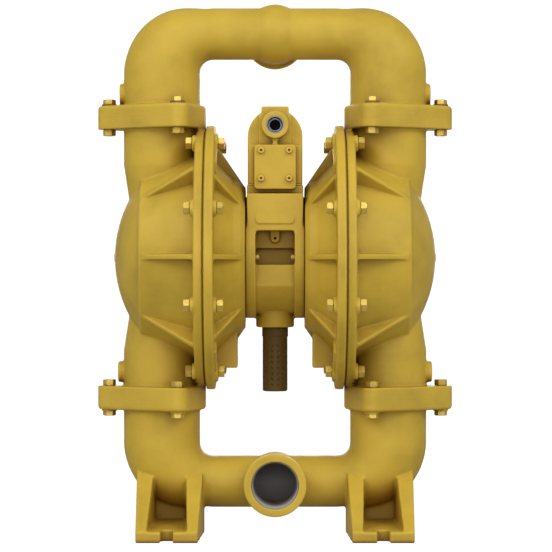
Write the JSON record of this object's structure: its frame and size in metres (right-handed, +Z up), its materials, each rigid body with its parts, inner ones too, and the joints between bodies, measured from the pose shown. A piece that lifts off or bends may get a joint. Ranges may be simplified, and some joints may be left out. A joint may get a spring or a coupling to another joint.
{
  "type": "air operated diaphragm pump",
  "caption": "Bolted metal air operated diaphragm pump: yellow ball-valve chambers on a ribbed center section between a top discharge pipe and a footed inlet pipe.",
  "frame": {"origin": "on the floor, midway between the feet, under the middle of the pump", "axes": "+Z up, X along the shaft from the left chamber to the right one, -Y towards the inlet port"},
  "size_m": [0.4598, 0.342, 0.6877],
  "materials": {
    "casting_paint": "satin yellow paint over an as-cast surface",
    "fastener_paint": "satin yellow paint over plain bolts",
    "zinc_steel": "zinc plated",
    "dark_steel": "dark oiled steel",
    "machined_steel": "machined",
    "anodised_aluminium": "hard anodised",
    "bearing_plastic": "machined bearing plastic",
    "black_rubber": "moulded",
    "ball_rubber": "moulded",
    "seat_plastic": "turned",
    "muffler_plastic": "moulded, matt"
  },
  "bodies": {
    "housing": {"air_inlet_insert": "zinc_steel", "center_block": "casting_paint", "discharge_bolts": "fastener_paint", "discharge_manifold": "casting_paint", "discharge_nuts": "fastener_paint", "discharge_seat_seals": "black_rubber", "discharge_seats": "seat_plastic", "discharge_washers": "dark_steel", "front_cap_screws": "fastener_paint", "front_cap_seal": "black_rubber", "front_valve_cap": "casting_paint", "inlet_bolts": "fastener_paint", "inlet_manifold": "casting_paint", "inlet_nuts": "fastener_paint", "inlet_seat_seals": "black_rubber", "inlet_seats": "seat_plastic", "inlet_washers": "dark_steel", "left_center_bolts": "zinc_steel", "left_clamp_bolts": "fastener_paint", "left_clamp_nuts": "fastener_paint", "left_diaphragm": "black_rubber", "left_inner_chamber": "casting_paint", "left_outer_chamber": "casting_paint", "muffler": "muffler_plastic", "pilot_sleeve": "anodised_aluminium", "rear_cap_screws": "fastener_paint", "rear_cap_seal": "black_rubber", "rear_valve_cap": "casting_paint", "right_center_bolts": "zinc_steel", "right_clamp_bolts": "fastener_paint", "right_clamp_nuts": "fastener_paint", "right_diaphragm": "black_rubber", "right_inner_chamber": "casting_paint", "right_outer_chamber": "casting_paint", "shaft_bushings": "bearing_plastic", "shaft_seals": "black_rubber", "valve_body": "casting_paint", "valve_body_screws": "fastener_paint", "valve_gasket": "fastener_paint", "valve_sleeve": "anodised_aluminium"},
    "shaft": {"shaft": "machined_steel", "left_inner_plate": "machined_steel", "right_inner_plate": "machined_steel", "left_outer_plate": "machined_steel", "right_outer_plate": "machined_steel", "left_plate_nut": "machined_steel", "right_plate_nut": "machined_steel"},
    "main_spool": {"main_spool": "anodised_aluminium"},
    "pilot_pin": {"pilot_pin": "machined_steel"},
    "left_discharge_ball": {"left_discharge_ball": "ball_rubber"},
    "right_discharge_ball": {"right_discharge_ball": "ball_rubber"},
    "left_inlet_ball": {"left_inlet_ball": "ball_rubber"},
    "right_inlet_ball": {"right_inlet_ball": "ball_rubber"}
  },
  "joints": [
    {"name": "shaft_stroke", "type": "slide", "parent": "housing", "child": "shaft", "axis": [1, 0, 0], "range_m": [-0.018, 0.018], "deforming": ["left_diaphragm", "right_diaphragm"]},
    {"name": "pilot_shift", "type": "slide", "parent": "housing", "child": "pilot_pin", "axis": [1, 0, 0], "range_m": [-0.0051, 0.0051]},
    {"name": "main_spool_shift", "type": "slide", "parent": "housing", "child": "main_spool", "axis": [0, 1, 0], "range_m": [-0.008, 0.008]},
    {"name": "left_discharge_ball_lift", "type": "slide", "parent": "housing", "child": "left_discharge_ball", "axis": [0, 0, 1], "range_m": [0, 0.012]},
    {"name": "right_discharge_ball_lift", "type": "slide", "parent": "housing", "child": "right_discharge_ball", "axis": [0, 0, 1], "range_m": [0, 0.012]},
    {"name": "left_inlet_ball_lift", "type": "slide", "parent": "housing", "child": "left_inlet_ball", "axis": [0, 0, 1], "range_m": [0, 0.012]},
    {"name": "right_inlet_ball_lift", "type": "slide", "parent": "housing", "child": "right_inlet_ball", "axis": [0, 0, 1], "range_m": [0, 0.012]}
  ],
  "couplings": [
    {"joint": "pilot_shift", "follows": "shaft_stroke", "ratio": 0.2778}
  ]
}
